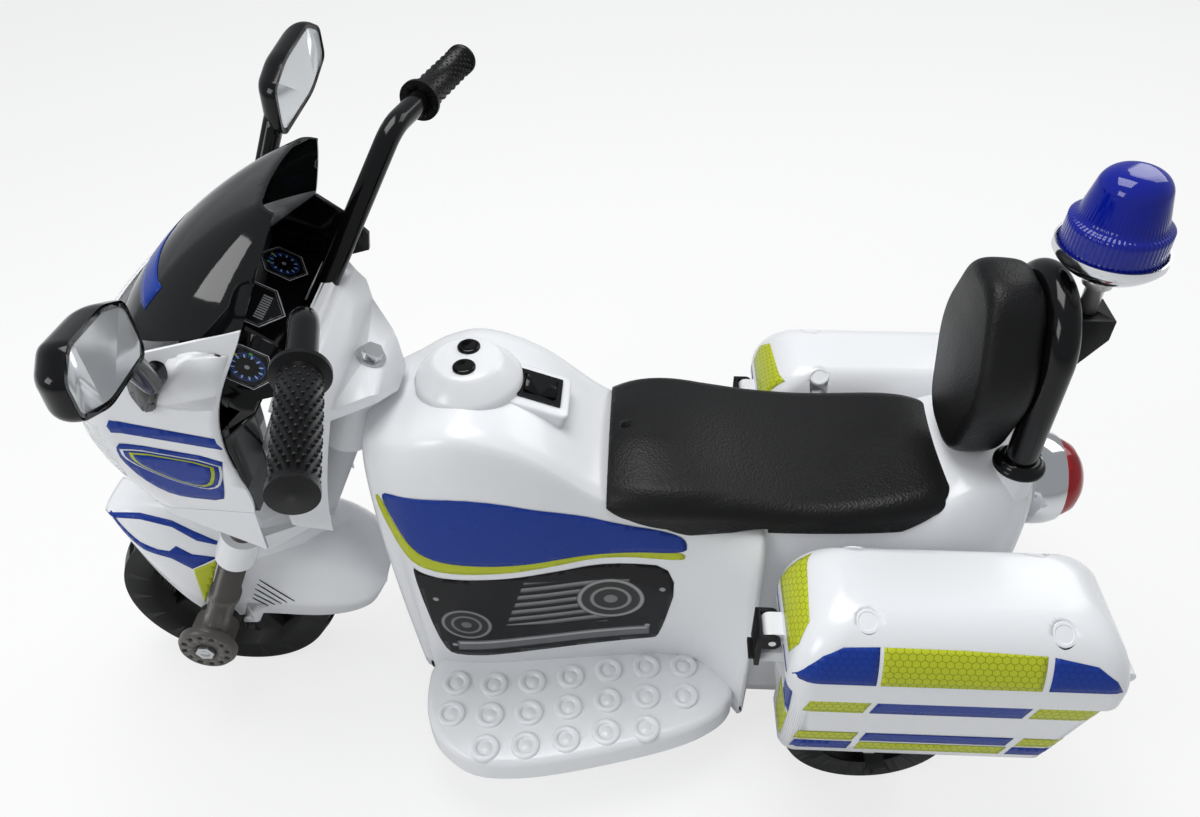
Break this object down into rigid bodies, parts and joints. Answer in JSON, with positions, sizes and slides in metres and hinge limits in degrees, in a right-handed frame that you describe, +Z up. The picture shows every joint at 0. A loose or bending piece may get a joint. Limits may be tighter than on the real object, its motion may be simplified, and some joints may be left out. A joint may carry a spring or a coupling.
{
  "type": "ride_on_motorbike",
  "caption": "Child's electric ride-on motorbike with steered front fork, wide rear wheels, lidded panniers, backrest, windscreen, mirrors and a beacon lamp.",
  "frame": {"origin": "middle of the footprint on the ground plane", "axes": "+X is the way the bike faces, +Y its left side, +Z up"},
  "size_m": [0.9094, 0.5782, 0.5964],
  "materials": {
    "white_plastic": "gloss white moulded polypropylene",
    "black_gloss": "gloss black moulded plastic",
    "black_matte": "matte black grained plastic",
    "tyre_plastic": "black blow-moulded plastic with tread blocks",
    "grey_plastic": "grey painted plastic fork leg",
    "chrome": "bright vacuum-plated plastic",
    "zinc_steel": "zinc-plated steel fastener",
    "smoke_plastic": "dark smoked translucent plastic",
    "clear_lens": "clear moulded lamp lens",
    "blue_lens": "translucent blue fluted plastic lens",
    "red_lens": "translucent red plastic lens",
    "mirror_foil": "silver mirror sheet",
    "motor_steel": "plain steel motor can",
    "battery_case": "dark moulded battery case"
  },
  "bodies": {
    "chassis": {"backrest_hoop": "black_gloss", "backrest_pad": "black_matte", "battery": "battery_case", "beacon_bracket": "black_matte", "beacon_dish": "chrome", "beacon_lamp": "clear_lens", "beacon_lens": "blue_lens", "beacon_pole": "chrome", "body_screws": "zinc_steel", "body_shell": "white_plastic", "control_box": "black_matte", "drive_motor": "motor_steel", "gearbox_housing": "black_matte", "hoop_collars": "black_gloss", "pannier_box_left": "white_plastic", "pannier_box_right": "white_plastic", "pannier_hinge_pins": "zinc_steel", "pedal_pin": "zinc_steel", "rear_axle": "zinc_steel", "rear_axle_nuts": "zinc_steel", "seat": "black_matte", "switch_bezel": "black_matte", "tail_light_housing": "chrome", "tail_light_lens": "red_lens", "under_tray": "black_matte"},
    "steering": {"front_axle": "zinc_steel", "front_axle_nuts": "zinc_steel", "fork_leg_left": "grey_plastic", "fork_leg_right": "grey_plastic", "axle_caps": "grey_plastic", "fork_yoke": "white_plastic", "steering_bolt": "zinc_steel", "steering_washer": "zinc_steel", "steering_nut": "zinc_steel", "handlebar_left": "black_gloss", "handlebar_right": "black_gloss", "grips": "black_matte", "headlight_lens": "clear_lens", "fairing": "white_plastic", "steering_head": "white_plastic", "headlight_reflector": "chrome", "dashboard": "black_gloss", "windscreen": "smoke_plastic", "lower_trim": "chrome", "mirror_housing_left": "black_gloss", "mirror_housing_right": "black_gloss", "mirror_glasses": "mirror_foil", "front_mudguard": "white_plastic"},
    "front_wheel": {"front_wheel": "tyre_plastic"},
    "rear_wheel_left": {"rear_wheel_left": "tyre_plastic"},
    "rear_wheel_right": {"rear_wheel_right": "tyre_plastic", "drive_coupler": "black_matte"},
    "accelerator_pedal": {"accelerator_pedal": "black_matte"},
    "button_left": {"button_left": "black_gloss"},
    "button_right": {"button_right": "black_gloss"},
    "rocker_switch": {"rocker_switch": "black_matte"},
    "pannier_lid_left": {"pannier_lid_left": "white_plastic"},
    "pannier_lid_right": {"pannier_lid_right": "white_plastic"},
    "pannier_latch_left": {"pannier_latch_left": "black_matte"},
    "pannier_latch_right": {"pannier_latch_right": "black_matte"}
  },
  "joints": [
    {"name": "steering_turn", "type": "hinge", "parent": "chassis", "child": "steering", "pos_m": [0.1559, 0, 0.40618], "axis": [-0.4067, 0, 0.9135], "range_deg": [-30, 30]},
    {"name": "front_wheel_spin", "type": "hinge", "parent": "steering", "child": "front_wheel", "pos_m": [0.3467, 0, 0.108], "axis": [0, 1, 0], "continuous": true},
    {"name": "rear_wheel_left_spin", "type": "hinge", "parent": "chassis", "child": "rear_wheel_left", "pos_m": [-0.2861, 0, 0.082], "axis": [0, 1, 0], "continuous": true},
    {"name": "rear_wheel_right_spin", "type": "hinge", "parent": "chassis", "child": "rear_wheel_right", "pos_m": [-0.2861, 0, 0.082], "axis": [0, 1, 0], "continuous": true},
    {"name": "pedal_press", "type": "hinge", "parent": "chassis", "child": "accelerator_pedal", "pos_m": [0.0079, -0.15, 0.097], "axis": [0, 1, 0], "range_deg": [0, 6], "stiffness_Nm_per_rad": 4},
    {"name": "button_left_press", "type": "slide", "parent": "chassis", "child": "button_left", "axis": [0, 0, -1], "range_m": [0, 0.002], "stiffness_N_per_m": 400},
    {"name": "button_right_press", "type": "slide", "parent": "chassis", "child": "button_right", "axis": [0, 0, -1], "range_m": [0, 0.002], "stiffness_N_per_m": 400},
    {"name": "rocker_tip", "type": "hinge", "parent": "chassis", "child": "rocker_switch", "pos_m": [0.0169, 0, 0.37603], "axis": [0, 1, 0], "range_deg": [-10, 10]},
    {"name": "pannier_lid_left_open", "type": "hinge", "parent": "chassis", "child": "pannier_lid_left", "pos_m": [-0.4487, 0.1475, 0.2512], "axis": [0, -1, 0], "range_deg": [0, 75]},
    {"name": "pannier_latch_left_open", "type": "hinge", "parent": "pannier_lid_left", "child": "pannier_latch_left", "pos_m": [-0.1773, 0.1475, 0.2538], "axis": [0, -1, 0], "range_deg": [0, 55]},
    {"name": "pannier_lid_right_open", "type": "hinge", "parent": "chassis", "child": "pannier_lid_right", "pos_m": [-0.4487, -0.1475, 0.2512], "axis": [0, -1, 0], "range_deg": [0, 75]},
    {"name": "pannier_latch_right_open", "type": "hinge", "parent": "pannier_lid_right", "child": "pannier_latch_right", "pos_m": [-0.1773, -0.1475, 0.2538], "axis": [0, -1, 0], "range_deg": [0, 55]}
  ]
}
